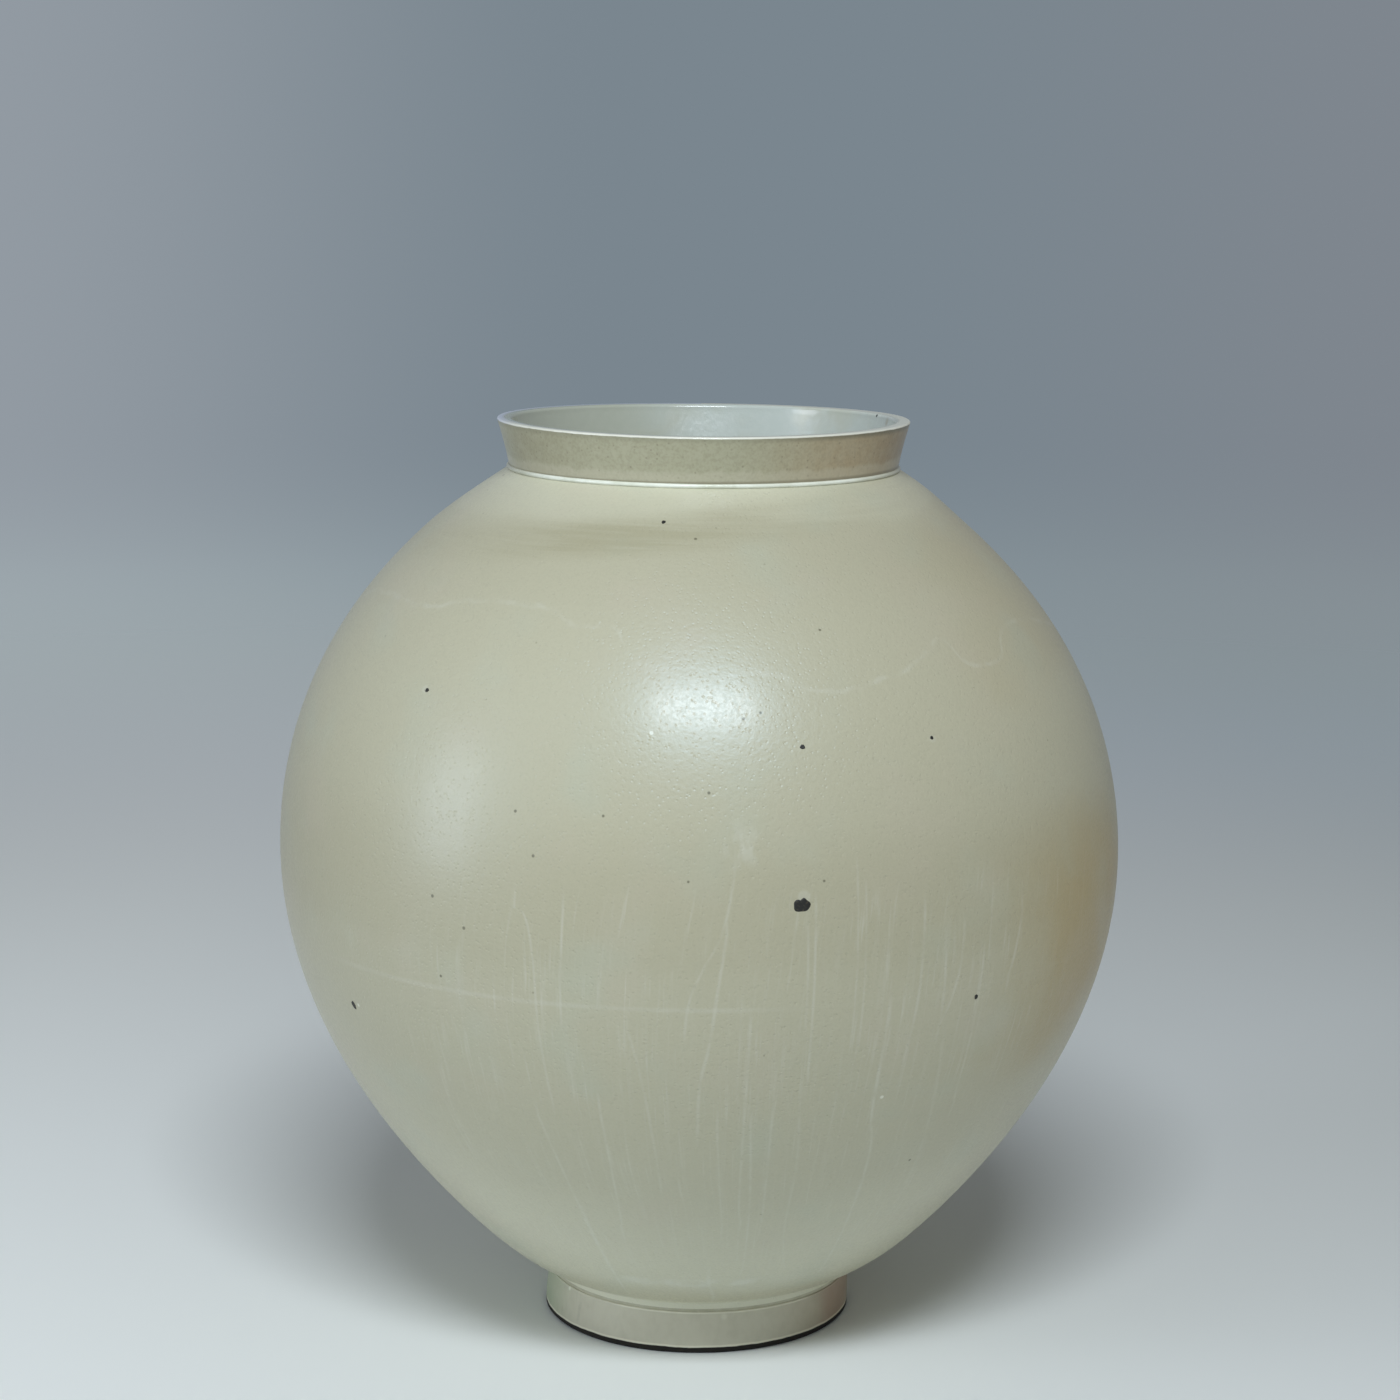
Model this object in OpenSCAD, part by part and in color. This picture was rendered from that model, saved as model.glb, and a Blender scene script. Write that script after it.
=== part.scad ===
// Moon jar: a round jar luted together from two thrown bowls, with a low
// flared collar at the mouth and a narrow trimmed foot ring.
// Millimetres, +Z up, origin on the table at the centre of the foot.

/* [Whole jar] */
// Height from the table to the top of the lip
jar_height = 309; // [295:1:330]
// Outside diameter at the widest level
belly_diameter = 285; // [265:1:310]
// Height of the widest level above the table
belly_level = 164; // [150:1:178]
// Height of the seam where the two thrown bowls meet rim to rim
seam_level = 143; // [125:1:160]
// How squarely the shoulder turns in, 0 for a plain parabola
shoulder_fullness = 0.25; // [0:0.05:0.5]

/* [Clay walls] */
// Clay thickness at the belly
wall = 6.5; // [5:0.5:9]
// Clay thickness of the floor
floor_thickness = 12; // [9:0.5:16]
// Inside radius at which the floor turns up into the wall
floor_radius = 50; // [42:1:56]
// Height of the upright throat wall at the top of the upper bowl
throat_height = 5; // [3:0.5:8]

/* [Mouth collar] */
// Outside diameter of the collar at the lip
mouth_diameter = 138; // [132:0.2:144]
// Outside diameter of the collar where it stands on the shoulder
neck_diameter = 130.4; // [124:0.2:137]
// Clay thickness where the collar meets the shoulder
neck_wall = 5.2; // [4:0.2:7]
// Height of the collar from its seat to the lip
collar_height = 15.6; // [10:0.2:20]
// Clay thickness at the lip
lip_thickness = 5; // [4:0.2:7]
// Radius of the soft edges of the lip
lip_round = 1.3; // [0.6:0.1:1.8]
// How far the outside of the collar is hollowed
collar_hollow = 0.5; // [0:0.1:1]

/* [Foot ring] */
// Outside diameter at the arris round the top of the foot ring
foot_diameter = 103.8; // [98:0.2:110]
// Height of the foot ring
foot_height = 14.2; // [10:0.2:18]
// Clay thickness of the foot ring
foot_width = 9; // [7:0.5:12]
// How much the foot ring spreads towards the table
foot_spread = 0.8; // [0.2:0.1:1.6]
// Bevel round the two bottom edges of the foot ring
foot_bevel = 0.9; // [0.5:0.1:1.6]
// How far the body is set back behind the arris
arris_setback = 0.5; // [0.2:0.1:1]
// Height of the upright waist of the body above the foot joint
waist_height = 1.8; // [1:0.2:3]
// Share of the lower curve that turns in sharply above the foot
foot_turn_in = 0.085; // [0.02:0.005:0.12]
// How far the underside rises towards its centre
underside_rise = 1.5; // [0:0.5:3]

/* [Luted joints] */
// Thickness of the slip in each joint
slip_thickness = 1; // [0.6:0.1:1.6]
// Depth of the scored grooves that key the slip
score_depth = 0.8; // [0.4:0.1:1.2]
// Scored grooves round the foot joint
foot_scores = 3; // [1:1:4]
// Scored grooves round the collar joint
collar_scores = 2; // [1:1:3]
// How far the slip bead stands out under the collar
bead_reach = 0.8; // [0.4:0.1:1.4]
// Depth of the tongue under the upper bowl's rim
tongue_depth = 2.5; // [1:0.5:4]
// Height of the coil pressed over the seam inside
coil_height = 22; // [14:1:30]
// Thickness of that coil at its middle
coil_thickness = 3; // [1.5:0.5:5]

/* [Iron spots] */
// Diameter of the large iron spot
large_spot = 5.2; // [3:0.2:8]
// Diameter of the middling iron spots
middling_spot = 2.4; // [1.6:0.2:3]
// Diameter of the small iron spots
small_spot = 1.6; // [1.2:0.1:2.4]
// Depth of an iron spot in the wall
spot_depth = 1.2; // [0.8:0.1:2]
// How far an iron spot stands proud of the glaze
spot_rise = 0.2; // [0.05:0.05:0.25]

/* [Hidden] */
$fn = 180;

// Colours as the photo shows them
glaze_colour = [0.72, 0.72, 0.62];
collar_colour = [0.61, 0.61, 0.52];
foot_colour = [0.64, 0.64, 0.56];
slip_colour = [0.88, 0.88, 0.82];
coil_colour = [0.80, 0.79, 0.72];
iron_colour = [0.16, 0.15, 0.12];

// Radii
belly_radius = belly_diameter / 2;
neck_radius = neck_diameter / 2;
throat_radius = neck_radius - neck_wall;
mouth_radius = mouth_diameter / 2;
foot_radius = foot_diameter / 2;
waist_radius = foot_radius - arris_setback;
recess_radius = foot_radius - foot_width;
base_radius = foot_radius + foot_spread;

// Levels, from the table up
underside_level = foot_height + slip_thickness;
waist_level = underside_level + waist_height;
floor_level = underside_level + underside_rise + floor_thickness;
seam_bottom = seam_level - slip_thickness / 2;
seam_top = seam_level + slip_thickness / 2;
coil_bottom = seam_level - coil_height / 2;
coil_top = seam_level + coil_height / 2;
collar_bottom = jar_height - collar_height;
seat_level = collar_bottom - slip_thickness;
throat_level = seat_level - throat_height;

// How sharply each curve bends at its end
shoulder_power = 4;
foot_power = 25;

// Steps along each curve, and how they crowd towards the foot
curve_steps = 30;
coil_steps = 12;
round_steps = 6;
crowding = 1.7;

// Iron spots as the angle round from the front, the height as a share of
// the bowl's own height, and the diameter
upper_spots = [
    [13, 0.22, large_spot],
    [14, 0.52, small_spot],
    [-42, 0.60, small_spot],
    [33, 0.52, small_spot],
    [-8, 0.93, small_spot]
];
lower_spots = [
    [-53, 0.87, middling_spot],
    [38, 0.97, small_spot]
];

// Radius at a level, on a curve that is widest at the belly level and
// reaches the radius called end at end_level
function bellied(widest, end, level, end_level, fullness, power) =
    let (t = min(1, abs((level - belly_level) / (end_level - belly_level))))
    widest - (widest - end) * ((1 - fullness) * t ^ 2 + fullness * t ^ power);

function outside(level) = level > belly_level
    ? bellied(belly_radius, neck_radius, level, seat_level, shoulder_fullness, shoulder_power)
    : bellied(belly_radius, waist_radius, level, waist_level, foot_turn_in, foot_power);

function inside(level) = level > belly_level
    ? bellied(belly_radius - wall, throat_radius, level, throat_level, shoulder_fullness, shoulder_power)
    : bellied(belly_radius - wall, floor_radius, level, floor_level, foot_turn_in, foot_power);

// Levels from one end to the other, crowded towards the first
function levels(first, last, crowd = 1) =
    [for (i = [0 : curve_steps]) first + (last - first) * (i / curve_steps) ^ crowd];

function outside_points(heights) = [for (z = heights) [outside(z), z]];

function inside_points(heights) = [for (z = heights) [inside(z), z]];

function backwards(points) = [for (i = [len(points) - 1 : -1 : 0]) points[i]];

// A joint face from its outer to its inner edge, with V grooves that go up
// for a positive depth and down for a negative one
function scored(outer, inner, level, count, depth) =
    let (pitch = (outer - inner) / count)
    concat(
        [[outer, level]],
        [for (i = [0 : count - 1], step = [-1, 0, 1])
            [outer - pitch * (i + 0.5 + step / 4), level + (step == 0 ? depth : 0)]],
        [[inner, level]]
    );

// The faces that two pieces share are each written once
function foot_ring_face() =
    scored(foot_radius, recess_radius, foot_height, foot_scores, -score_depth);

function underside_face() =
    scored(waist_radius, recess_radius, underside_level, foot_scores, score_depth);

function lower_rim_face() =
    scored(outside(seam_bottom), inside(seam_bottom), seam_bottom, 1, -tongue_depth);

function upper_rim_face() =
    scored(outside(seam_top), inside(seam_top), seam_top, 1, -tongue_depth);

function seat_face() =
    scored(neck_radius, throat_radius, seat_level, collar_scores, -score_depth);

function collar_face() =
    scored(neck_radius, throat_radius, collar_bottom, collar_scores, score_depth);

// A quarter of a rounded edge from one angle to another
function rounded(centre, radius, from, to) =
    [for (i = [0 : round_steps])
        let (a = from + (to - from) * i / round_steps)
        centre + radius * [cos(a), sin(a)]];

// Outside of the collar from its seat up to the rounded lip
function collar_outside() =
    [for (i = [0 : round_steps])
        let (t = i / round_steps)
        [neck_radius + (mouth_radius - neck_radius) * t - 4 * collar_hollow * t * (1 - t),
         collar_bottom + (collar_height - lip_round) * t]];

module collar_clay() {
    rotate_extrude()
        polygon(concat(
            collar_outside(),
            rounded([mouth_radius - lip_round, jar_height - lip_round], lip_round, 0, 90),
            rounded([mouth_radius - lip_thickness + lip_round, jar_height - lip_round], lip_round, 90, 180),
            backwards(collar_face())
        ));
}

// Slip between the collar and the shoulder, squeezed out into a fine bead
module collar_slip_layer() {
    rotate_extrude()
        polygon(concat(
            backwards(seat_face()),
            [for (a = [-90 : 90 / round_steps : 90])
                [neck_radius + bead_reach * cos(a), (seat_level + collar_bottom + slip_thickness * sin(a)) / 2]],
            collar_face()
        ));
}

module upper_wall() {
    rotate_extrude()
        polygon(concat(
            outside_points(levels(seam_top, seat_level)),
            seat_face(),
            backwards(inside_points(levels(coil_top, throat_level))),
            backwards(upper_rim_face())
        ));
}

// Slip between the tongue of the upper rim and the groove of the lower
module belly_slip_layer() {
    rotate_extrude()
        polygon(concat(
            upper_rim_face(),
            backwards(lower_rim_face())
        ));
}

// Coil smoothed over the seam from inside, thickest at its middle
module coil_clay() {
    rotate_extrude()
        polygon(concat(
            inside_points([coil_bottom, seam_bottom, seam_top, coil_top]),
            [for (i = [1 : coil_steps - 1])
                let (t = i / coil_steps, edge = inside(coil_top) * (1 - t) + inside(coil_bottom) * t)
                [edge - 4 * coil_thickness * t * (1 - t), coil_top + (coil_bottom - coil_top) * t]]
        ));
}

module lower_wall() {
    rotate_extrude()
        polygon(concat(
            [[waist_radius, underside_level]],
            outside_points(levels(waist_level, seam_bottom, crowding)),
            lower_rim_face(),
            inside_points([coil_bottom]),
            backwards(inside_points(levels(floor_level, coil_bottom, crowding))),
            [[0, floor_level]],
            [[0, underside_level + underside_rise]],
            backwards(underside_face())
        ));
}

// Slip between the underside of the body and the foot ring
module foot_slip_layer() {
    rotate_extrude()
        polygon(concat(
            underside_face(),
            backwards(foot_ring_face())
        ));
}

module ring_clay() {
    rotate_extrude()
        polygon(concat(
            foot_ring_face(),
            [[recess_radius, foot_bevel]],
            [[recess_radius + foot_bevel, 0]],
            [[base_radius - foot_bevel, 0]],
            [[base_radius, foot_bevel]]
        ));
}

// Stands its children on the outside of the body, square to its surface
module on_surface(angle, level) {
    reach = 1;
    slope = outside(level + reach) - outside(level - reach);
    rotate([0, 0, angle - 90])
        translate([outside(level), 0, level])
            rotate([0, atan2(2 * reach, -slope), 0])
                children();
}

module spot_pocket(diameter) {
    translate([0, 0, -spot_depth])
        cylinder(h = 2 * spot_depth, d = diameter);
}

// A melted grain of iron that fills its pocket and stands a little proud
module iron_spot(diameter) {
    translate([0, 0, -spot_depth])
        cylinder(h = spot_depth, d = diameter);
    cylinder(h = spot_rise, d1 = diameter, d2 = diameter - 4 * spot_rise);
}

module on_upper_spots() {
    for (spot = upper_spots, $diameter = spot[2])
        on_surface(spot[0], seam_top + spot[1] * (seat_level - seam_top))
            children();
}

module on_lower_spots() {
    for (spot = lower_spots, $diameter = spot[2])
        on_surface(spot[0], waist_level + spot[1] * (seam_bottom - waist_level))
            children();
}

module mouth_collar() {
    color(collar_colour) collar_clay();
}

module collar_slip() {
    color(slip_colour) collar_slip_layer();
}

module upper_bowl() {
    color(glaze_colour)
        difference() {
            upper_wall();
            on_upper_spots() spot_pocket($diameter);
        }
}

module belly_slip() {
    color(slip_colour) belly_slip_layer();
}

module seam_coil() {
    color(coil_colour) coil_clay();
}

module lower_bowl() {
    color(glaze_colour)
        difference() {
            lower_wall();
            on_lower_spots() spot_pocket($diameter);
        }
}

module foot_slip() {
    color(slip_colour) foot_slip_layer();
}

module foot_ring() {
    color(foot_colour) ring_clay();
}

module iron_spots() {
    color(iron_colour) {
        on_upper_spots() iron_spot($diameter);
        on_lower_spots() iron_spot($diameter);
    }
}

mouth_collar();
collar_slip();
upper_bowl();
belly_slip();
seam_coil();
lower_bowl();
foot_slip();
foot_ring();
iron_spots();
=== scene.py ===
import math

import bmesh
import bpy
import numpy as np
from mathutils import Euler, Matrix, Vector


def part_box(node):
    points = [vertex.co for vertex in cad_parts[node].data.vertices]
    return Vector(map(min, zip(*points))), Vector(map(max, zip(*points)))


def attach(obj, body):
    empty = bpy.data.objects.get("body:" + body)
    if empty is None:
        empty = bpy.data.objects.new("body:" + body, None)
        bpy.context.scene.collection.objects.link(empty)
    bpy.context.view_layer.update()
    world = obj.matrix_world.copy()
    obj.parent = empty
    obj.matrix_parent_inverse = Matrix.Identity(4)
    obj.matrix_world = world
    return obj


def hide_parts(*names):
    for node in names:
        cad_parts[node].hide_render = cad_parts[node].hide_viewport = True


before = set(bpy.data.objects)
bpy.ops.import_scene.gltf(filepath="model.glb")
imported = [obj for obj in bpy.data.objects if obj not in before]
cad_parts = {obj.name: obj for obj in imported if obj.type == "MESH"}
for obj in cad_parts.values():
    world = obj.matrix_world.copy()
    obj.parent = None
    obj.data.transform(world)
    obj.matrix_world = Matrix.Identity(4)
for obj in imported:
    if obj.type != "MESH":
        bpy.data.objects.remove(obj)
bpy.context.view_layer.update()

# Lower bowl: the lower half of the jar, thrown in pale stoneware with a thick floor.
# The potter trims it round the foot when it is leather-hard. It carries the coil, the
# upper bowl and the collar, and its outside holds the glaze that runs over both halves.
mm = 0.001
degrees = math.radians(1)

belly_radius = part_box("upper_bowl")[1].x
belly_level = 164 * mm
wall = 6.5 * mm
floor_thickness = 12 * mm
floor_radius = 50 * mm
underside_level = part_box("lower_bowl")[0].z
underside_rise = 1.5 * mm
waist_height = 1.8 * mm
waist_level = underside_level + waist_height
foot_spread = 0.8 * mm
foot_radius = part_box("foot_ring")[1].x - foot_spread
foot_width = 9 * mm
arris_setback = 0.5 * mm
waist_radius = foot_radius - arris_setback
recess_radius = foot_radius - foot_width
floor_level = underside_level + underside_rise + floor_thickness
foot_turn_in = 0.085
foot_sharpness = 25
seam_level = sum(corner.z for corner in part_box("seam_coil")) / 2
slip_thickness = 1 * mm
seam_bottom = seam_level - slip_thickness / 2
seam_top = seam_level + slip_thickness / 2
coil_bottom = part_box("seam_coil")[0].z
coil_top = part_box("seam_coil")[1].z
seat_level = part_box("upper_bowl")[1].z
lip_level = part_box("mouth_collar")[1].z
bead_reach = 0.8 * mm
neck_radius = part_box("collar_slip")[1].x - bead_reach
score_depth = 0.8 * mm
tongue_depth = 2.5 * mm
finger_ridge = 0.35 * mm
finger_pitch = 8 * mm

# What the hand left: the axis wanders, the lip tilts and warps, and the walls have lobes
base_shift = -0.3 * mm
foot_shift = 0.4 * mm
body_shift = 1.1 * mm
shoulder_shift = -0.8 * mm
collar_shift = 0.8 * mm
lip_tilt = 0.006
lip_lean = 0.005
lip_warp = 0.27 * mm
lip_drop = 0.32 * mm
tilt_reach = 69.8 * mm
drying_shrink = 0.0028
out_of_round = ((2, 0.14 * mm, 0.6), (3, 0.08 * mm, 2.1), (5, 0.05 * mm, 4.0))
twist = 9
lean_start = 30 * mm
lean_end = 240 * mm
body_start = 32 * mm
neck_start = 272 * mm
round_levels = (5 * mm, 60 * mm)
tilt_levels = (282 * mm, 296 * mm)

turns_of_wheel = 240
wheel = np.arange(turns_of_wheel) * 2 * math.pi / turns_of_wheel


def eased(value, start, end):
    """0 before start, 1 after end, and a smooth rise between."""
    share = np.clip((value - start) / (end - start), 0, 1)
    return share * share * (3 - 2 * share)


def by_hand(radius, level, angle):
    """Moves a point of a true turned form to where the potter's hand left it."""
    lean = (level - lean_start) / (lean_end - lean_start)
    body = body_shift + (shoulder_shift - body_shift) * lean
    centre = base_shift + (foot_shift - base_shift) * eased(level, 0, underside_level)
    centre = centre + (body - foot_shift) * eased(level, waist_level, body_start)
    centre = centre + (collar_shift - centre) * eased(level, neck_start, seat_level)
    radius = radius * (1 - drying_shrink)
    for lobes, depth, phase in out_of_round:
        swell = depth * np.sin(lobes * angle + phase + twist * level)
        radius = radius + swell * eased(level, *round_levels)
    x = centre + radius * np.sin(angle)
    y = -radius * np.cos(angle)
    dip = lip_tilt * (x + tilt_reach) * eased(level, *tilt_levels)
    warp = lip_drop + lip_lean * y + lip_warp * np.cos(2 * angle)
    dip = dip + warp * eased(level, seat_level, lip_level - 2 * mm)
    return np.stack([x, y, level - dip], axis=-1)


def turned(name, outline, finish, closed=False):
    """A piece off the wheel, from its outline of (radius, level, ridge) points. The ridge
    is how deep the fingers' spiral is there. The outline runs from axis to axis, or closes."""
    outline = np.array(outline, float)
    ends = () if closed else (outline[0], outline[-1])
    rings = outline if closed else outline[1:-1]
    radius, level, ridge = (rings[:, column, None] for column in range(3))
    spiral = np.sin(2 * math.pi * level / finger_pitch + wheel)
    points = by_hand(radius + ridge * spiral, level + 0 * wheel, wheel + 0 * level).reshape(-1, 3)
    points = [*points, *(by_hand(0, end[1], 0) for end in ends)]
    count = len(rings)
    steps = count if closed else count - 1
    here = np.arange(turns_of_wheel)
    there = (here + 1) % turns_of_wheel
    faces = []
    for row in range(steps):
        low = row * turns_of_wheel
        high = (row + 1) % count * turns_of_wheel
        faces += np.stack([low + here, low + there, high + there, high + here], axis=1).tolist()
    if not closed:
        first = count * turns_of_wheel
        last_ring = (count - 1) * turns_of_wheel
        faces += [[first, int(t), int(h)] for h, t in zip(here, there)]
        faces += [[first + 1, last_ring + int(h), last_ring + int(t)] for h, t in zip(here, there)]
    return shaped(name, points, faces, finish)


def shaped(name, points, faces, finish, crease=32 * degrees):
    """A closed smooth mesh with its true corners kept crisp."""
    mesh = bpy.data.meshes.new(name)
    mesh.from_pydata([tuple(point) for point in points], [], faces)
    built = bmesh.new()
    built.from_mesh(mesh)
    bmesh.ops.recalc_face_normals(built, faces=built.faces)
    for face in built.faces:
        face.smooth = True
    for edge in built.edges:
        edge.smooth = edge.calc_face_angle(0) < crease
    built.to_mesh(mesh)
    built.free()
    mesh.materials.append(finish)
    piece = bpy.data.objects.new(name, mesh)
    bpy.context.scene.collection.objects.link(piece)
    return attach(piece, "root")


def bellied(level, end_level, widest, end, fullness, power):
    """Radius on a curve that is widest at the belly and comes in to end at end_level."""
    t = np.minimum(1, np.abs((level - belly_level) / (end_level - belly_level)))
    return widest - (widest - end) * ((1 - fullness) * t**2 + fullness * t**power)


def lower_outside(level):
    return bellied(level, waist_level, belly_radius, waist_radius, foot_turn_in, foot_sharpness)


def lower_inside(level):
    return bellied(level, floor_level, belly_radius - wall, floor_radius, foot_turn_in, foot_sharpness)


neck_wall = 5.2 * mm
throat_height = 5 * mm
throat_radius = neck_radius - neck_wall
throat_level = seat_level - throat_height
shoulder_fullness = 0.25
shoulder_sharpness = 4


def upper_outside(level):
    high = bellied(level, seat_level, belly_radius, neck_radius, shoulder_fullness, shoulder_sharpness)
    return high if level > belly_level else lower_outside(level)


def upper_inside(level):
    widest = belly_radius - wall
    high = bellied(level, throat_level, widest, throat_radius, shoulder_fullness, shoulder_sharpness)
    return high if level > belly_level else lower_inside(level)


def wall_points(side, first, last, count, ridge=0.0, crowding=1.0):
    """Outline points up one side of a wall, crowded towards the first level."""
    levels = first + (last - first) * np.linspace(0, 1, count) ** crowding
    return [(side(level), level, ridge) for level in levels]


def scored(outer, inner, level, grooves, depth):
    """A joint face scratched with V grooves, which key the slip."""
    pitch = (outer - inner) / grooves
    middle = [
        (outer - pitch * (groove + 0.5 + step / 4), level + (0 if step else depth), 0)
        for groove in range(grooves)
        for step in (-1, 0, 1)
    ]
    return [(outer, level, 0), *middle, (inner, level, 0)]


class Finish:
    """One fired surface. Each method adds a node to its material and hands its output back."""

    def __init__(self, name, roughness, coat, coat_roughness):
        self.material = bpy.data.materials.new(name)
        self.material.use_nodes = True
        self.nodes = self.material.node_tree.nodes
        self.surface = self.nodes["Principled BSDF"].inputs
        self.surface["Roughness"].default_value = roughness
        self.surface["Coat Weight"].default_value = coat
        self.surface["Coat Roughness"].default_value = coat_roughness
        self.place = self.node("TexCoord").outputs["Object"]
        self.x, self.y, self.level = self.node("SeparateXYZ", {"Vector": self.place}).outputs
        self.angle = self.maths("ARCTAN2", self.x, self.maths("MULTIPLY", self.y, -1))
        flat = self.node("VectorMath", {0: self.place, 1: (1, 1, 0)}, operation="MULTIPLY").outputs[0]
        self.out = self.node("VectorMath", {0: flat}, operation="LENGTH").outputs["Value"]

    def feed(self, socket, value):
        if isinstance(value, bpy.types.NodeSocket):
            self.material.node_tree.links.new(value, socket)
        else:
            socket.default_value = value

    def node(self, kind, inputs=(), **settings):
        made = self.nodes.new("ShaderNode" + kind)
        for setting, value in settings.items():
            setattr(made, setting, value)
        for socket, value in dict(inputs).items():
            self.feed(made.inputs[socket], value)
        return made

    def maths(self, operation, *values):
        return self.node("Math", enumerate(values), operation=operation).outputs[0]

    def band(self, value, start, end):
        """0 at start, 1 at end, eased between. Start may be above end."""
        inputs = {"Value": value, "From Min": start, "From Max": end}
        return self.node("MapRange", inputs, interpolation_type="SMOOTHSTEP").outputs[0]

    def between(self, value, low, high, edge):
        """1 from low to high, easing to 0 over the edge outside them."""
        rise = self.band(value, low - edge, low)
        return self.maths("MULTIPLY", rise, self.band(value, high + edge, high))

    def cloud(self, size, detail=2.0, stretch=(1, 1, 1), seed=0.0):
        """Soft random noise from 0 to 1, with patches about as large as size."""
        spread = self.node("VectorMath", {0: self.place, 1: stretch}, operation="MULTIPLY").outputs[0]
        inputs = {"Vector": spread, "W": seed, "Scale": 1 / size, "Detail": detail}
        return self.node("TexNoise", inputs, noise_dimensions="4D").outputs[0]

    def mix(self, share, first, second):
        inputs = {0: share, 6: first, 7: second}
        return self.node("Mix", inputs, data_type="RGBA").outputs[2]

    def stain(self, colour, share, weight, tone):
        """Lays a tone over a colour, as strongly as share times weight."""
        return self.mix(self.maths("MULTIPLY", share, weight), colour, tone)

    def curve(self, value, points):
        """A smooth line through given (place, height) points, level beyond its ends."""
        places, heights = zip(*points)
        low, high = min(heights), max(heights)
        share = {"Value": value, "From Min": places[0], "From Max": places[-1]}
        share = self.node("MapRange", share).outputs[0]
        made = self.node("FloatCurve", {"Value": share})
        line = made.mapping.curves[0]
        shares = [((x - places[0]) / (places[-1] - places[0]), (y - low) / (high - low)) for x, y in points]
        line.points[0].location = shares[0]
        line.points[1].location = shares[-1]
        for x, y in shares[1:-1]:
            line.points.new(x, y)
        made.mapping.update()
        return self.maths("MULTIPLY_ADD", made.outputs[0], high - low, low)

    def dots(self, spots, radius, edge):
        """1 inside each of the spots on the wall, given as (angle, level, size) in degrees and mm."""
        shown = None
        for angle, level, size in spots:
            out = upper_outside(level * mm)
            centre = tuple(by_hand(out, level * mm, angle * degrees))
            away = self.node("VectorMath", {0: self.place, 1: centre}, operation="DISTANCE").outputs["Value"]
            dot = self.band(away, (radius * size + edge) * mm, radius * size * mm)
            shown = dot if shown is None else self.maths("MAXIMUM", shown, dot)
        return shown

    def dab(self, radius, level, angle, core, reach):
        """1 within core of a point given by radius, level and angle in degrees, 0 beyond reach."""
        centre = tuple(by_hand(radius, level, angle * degrees))
        away = self.node("VectorMath", {0: self.place, 1: centre}, operation="DISTANCE").outputs["Value"]
        return self.band(away, reach, core)

    def bump(self, height, depth):
        """Raises the surface by height times depth, on top of any bump already there."""
        inputs = {"Height": height, "Distance": depth, "Strength": 1.0}
        made = self.node("Bump", inputs)
        if self.surface["Normal"].is_linked:
            self.feed(made.inputs["Normal"], self.surface["Normal"].links[0].from_socket)
        self.feed(self.surface["Normal"], made.outputs[0])


def fired(red, green, blue):
    """A fired colour, given on a 0 to 255 scale, for the shader."""
    shares = (channel / 255 for channel in (red, green, blue))
    return (*(((share + 0.055) / 1.055) ** 2.4 for share in shares), 1)


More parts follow.
